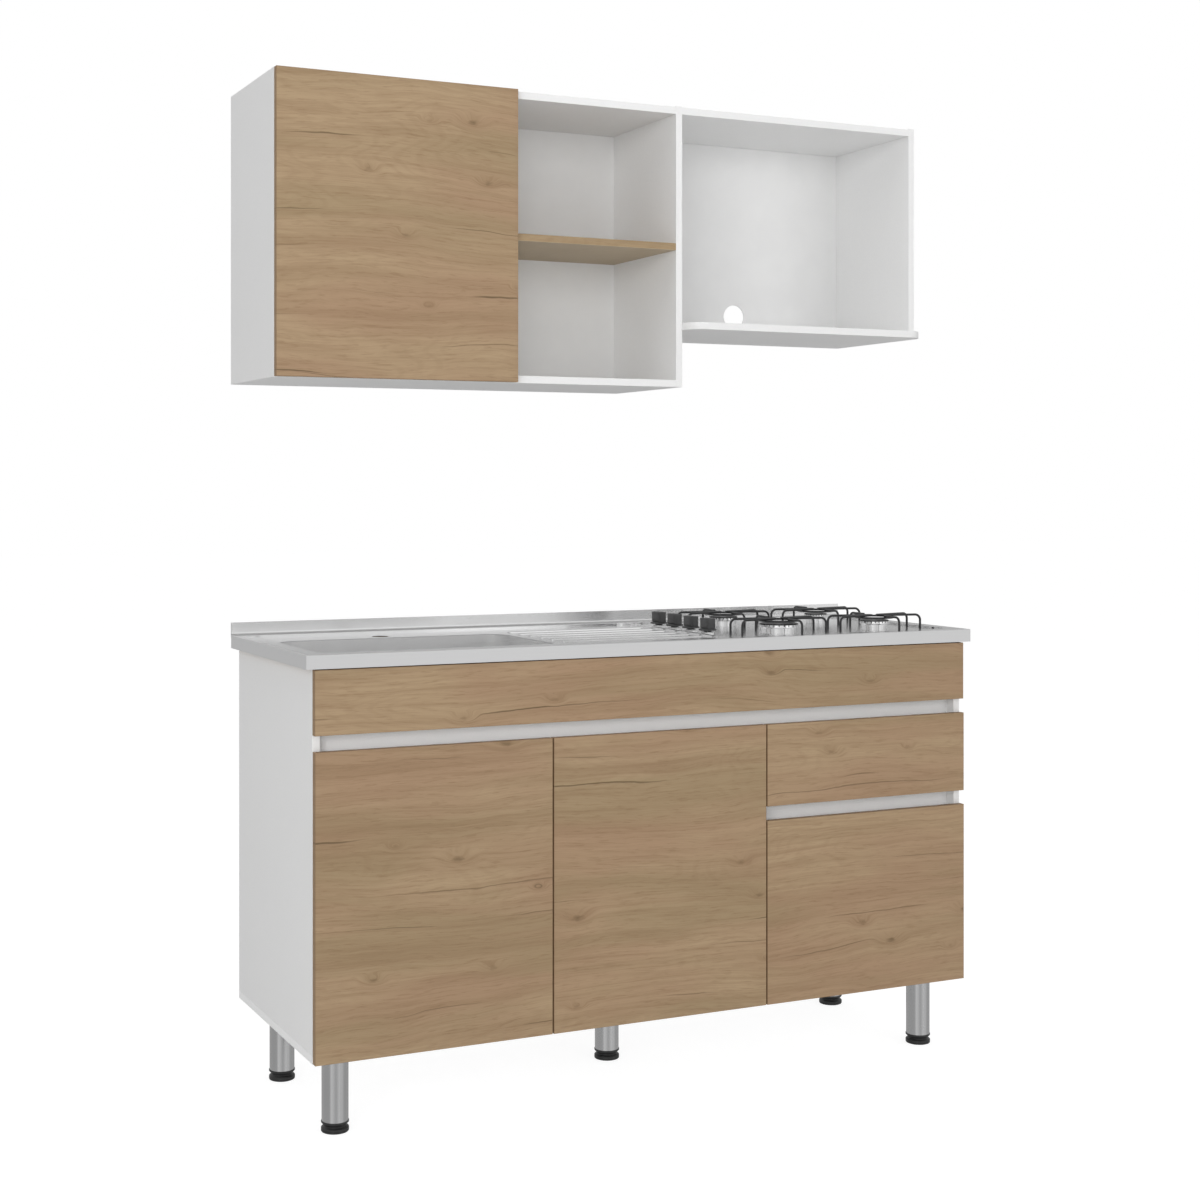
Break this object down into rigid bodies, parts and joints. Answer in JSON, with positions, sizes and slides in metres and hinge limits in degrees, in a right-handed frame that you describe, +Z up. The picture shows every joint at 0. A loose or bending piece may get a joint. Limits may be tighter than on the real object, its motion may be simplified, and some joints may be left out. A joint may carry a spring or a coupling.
{
  "type": "fitted kitchen",
  "caption": "Fitted kitchen with a sink and gas hob worktop on a base unit with oak fronts, and a wall unit with a cupboard, an open niche and a microwave niche.",
  "frame": {"origin": "on the floor, under the middle of the worktop", "axes": "+X to the right, +Y to the wall, +Z up; the fronts face -Y"},
  "size_m": [1.5, 0.52, 2.03],
  "materials": {
    "white_board": "chipboard with a fine-grained matt white melamine face",
    "white_hardboard": "thin fibreboard with a white lacquered face",
    "oak_board": "chipboard with a matt oak decor face, grain level",
    "drawer_board": "white foil on chipboard",
    "chipboard": "raw moisture-resistant chipboard",
    "white_profile": "matt white coated channel",
    "sheet_steel": "satin stainless steel",
    "grey_plastic": "moulded grey plastic",
    "black_plastic": "moulded black plastic",
    "knob_plastic": "moulded dark grey plastic",
    "leg_aluminium": "lengthwise brushed aluminium",
    "burner_alloy": "cast and turned aluminium",
    "pipe_aluminium": "drawn aluminium pipe",
    "tap_brass": "machined brass",
    "chrome_ring": "polished chrome",
    "black_enamel": "matt black enamel on steel",
    "hardware_steel": "nickel-plated steel"
  },
  "bodies": {
    "kitchen": {"base_back_panel": "white_hardboard", "base_bottom_panel": "white_board", "base_left_side": "white_board", "base_partition": "white_board", "base_right_side": "white_board", "burner_caps": "black_enamel", "burner_cups": "burner_alloy", "cupboard_back_panel": "white_hardboard", "cupboard_shelf": "white_board", "drawer_runner_rails": "hardware_steel", "fascia_panel": "oak_board", "finger_channels": "white_profile", "gas_manifold": "pipe_aluminium", "gas_pipes": "pipe_aluminium", "gas_taps": "tap_brass", "hinge_arms": "hardware_steel", "knob_bezels": "chrome_ring", "leg_feet": "black_plastic", "leg_mounting_plates": "black_plastic", "leg_tubes": "leg_aluminium", "microwave_back_panel": "white_hardboard", "microwave_right_side": "white_board", "microwave_shelf": "white_board", "microwave_top_panel": "white_board", "niche_shelf": "oak_board", "shelf_pins": "hardware_steel", "sink_bowl": "sheet_steel", "sink_waste": "grey_plastic", "top_stretchers": "white_board", "wall_bottom_panel": "white_board", "wall_hanging_rails": "white_board", "wall_left_side": "white_board", "wall_middle_side": "white_board", "wall_partition": "white_board", "wall_top_panel": "white_board", "waste_grid": "sheet_steel", "waste_nut": "grey_plastic", "worktop_core": "chipboard", "worktop_deck": "sheet_steel"},
    "left_door": {"door_left": "oak_board", "door_left_hinge_cups": "hardware_steel"},
    "middle_door": {"door_middle": "oak_board", "door_middle_hinge_cups": "hardware_steel"},
    "right_door": {"door_right": "oak_board", "door_right_hinge_cups": "hardware_steel"},
    "cupboard_door": {"wall_door": "oak_board", "wall_door_hinge_cups": "hardware_steel"},
    "drawer": {"drawer_front": "oak_board", "drawer_sides": "drawer_board", "drawer_back": "drawer_board", "drawer_bottom": "drawer_board", "drawer_runner_slides": "hardware_steel"},
    "knob_1_body": {"knob_1": "knob_plastic"},
    "knob_2_body": {"knob_2": "knob_plastic"},
    "knob_3_body": {"knob_3": "knob_plastic"},
    "knob_4_body": {"knob_4": "knob_plastic"},
    "pan_support_front_left_body": {"pan_support_front_left": "black_enamel"},
    "pan_support_front_right_body": {"pan_support_front_right": "black_enamel"},
    "pan_support_back_left_body": {"pan_support_back_left": "black_enamel"},
    "pan_support_back_right_body": {"pan_support_back_right": "black_enamel"}
  },
  "joints": [
    {"name": "left_door_swing", "type": "hinge", "parent": "kitchen", "child": "left_door", "pos_m": [-0.7265, -0.2539, 0.44], "axis": [0, 0, -1], "range_deg": [0, 95]},
    {"name": "middle_door_swing", "type": "hinge", "parent": "kitchen", "child": "middle_door", "pos_m": [0.2277, -0.2539, 0.44], "axis": [0, 0, 1], "range_deg": [0, 90]},
    {"name": "right_door_swing", "type": "hinge", "parent": "kitchen", "child": "right_door", "pos_m": [0.7265, -0.2539, 0.34], "axis": [0, 0, 1], "range_deg": [0, 95]},
    {"name": "cupboard_door_swing", "type": "hinge", "parent": "kitchen", "child": "cupboard_door", "pos_m": [-0.744, -0.0639, 1.73], "axis": [0, 0, -1], "range_deg": [0, 95]},
    {"name": "drawer_slide", "type": "slide", "parent": "kitchen", "child": "drawer", "axis": [0, -1, 0], "range_m": [0, 0.35]},
    {"name": "knob_1_turn", "type": "hinge", "parent": "kitchen", "child": "knob_1_body", "pos_m": [0.181, 0.112, 0.92], "axis": [0, 0, 1], "range_deg": [0, 210]},
    {"name": "knob_2_turn", "type": "hinge", "parent": "kitchen", "child": "knob_2_body", "pos_m": [0.181, 0.039, 0.92], "axis": [0, 0, 1], "range_deg": [0, 210]},
    {"name": "knob_3_turn", "type": "hinge", "parent": "kitchen", "child": "knob_3_body", "pos_m": [0.181, -0.034, 0.92], "axis": [0, 0, 1], "range_deg": [0, 210]},
    {"name": "knob_4_turn", "type": "hinge", "parent": "kitchen", "child": "knob_4_body", "pos_m": [0.181, -0.107, 0.92], "axis": [0, 0, 1], "range_deg": [0, 210]},
    {"name": "pan_support_front_left_lift", "type": "slide", "parent": "kitchen", "child": "pan_support_front_left_body", "axis": [0, 0, 1], "range_m": [0, 0.06]},
    {"name": "pan_support_front_right_lift", "type": "slide", "parent": "kitchen", "child": "pan_support_front_right_body", "axis": [0, 0, 1], "range_m": [0, 0.06]},
    {"name": "pan_support_back_left_lift", "type": "slide", "parent": "kitchen", "child": "pan_support_back_left_body", "axis": [0, 0, 1], "range_m": [0, 0.06]},
    {"name": "pan_support_back_right_lift", "type": "slide", "parent": "kitchen", "child": "pan_support_back_right_body", "axis": [0, 0, 1], "range_m": [0, 0.06]}
  ]
}
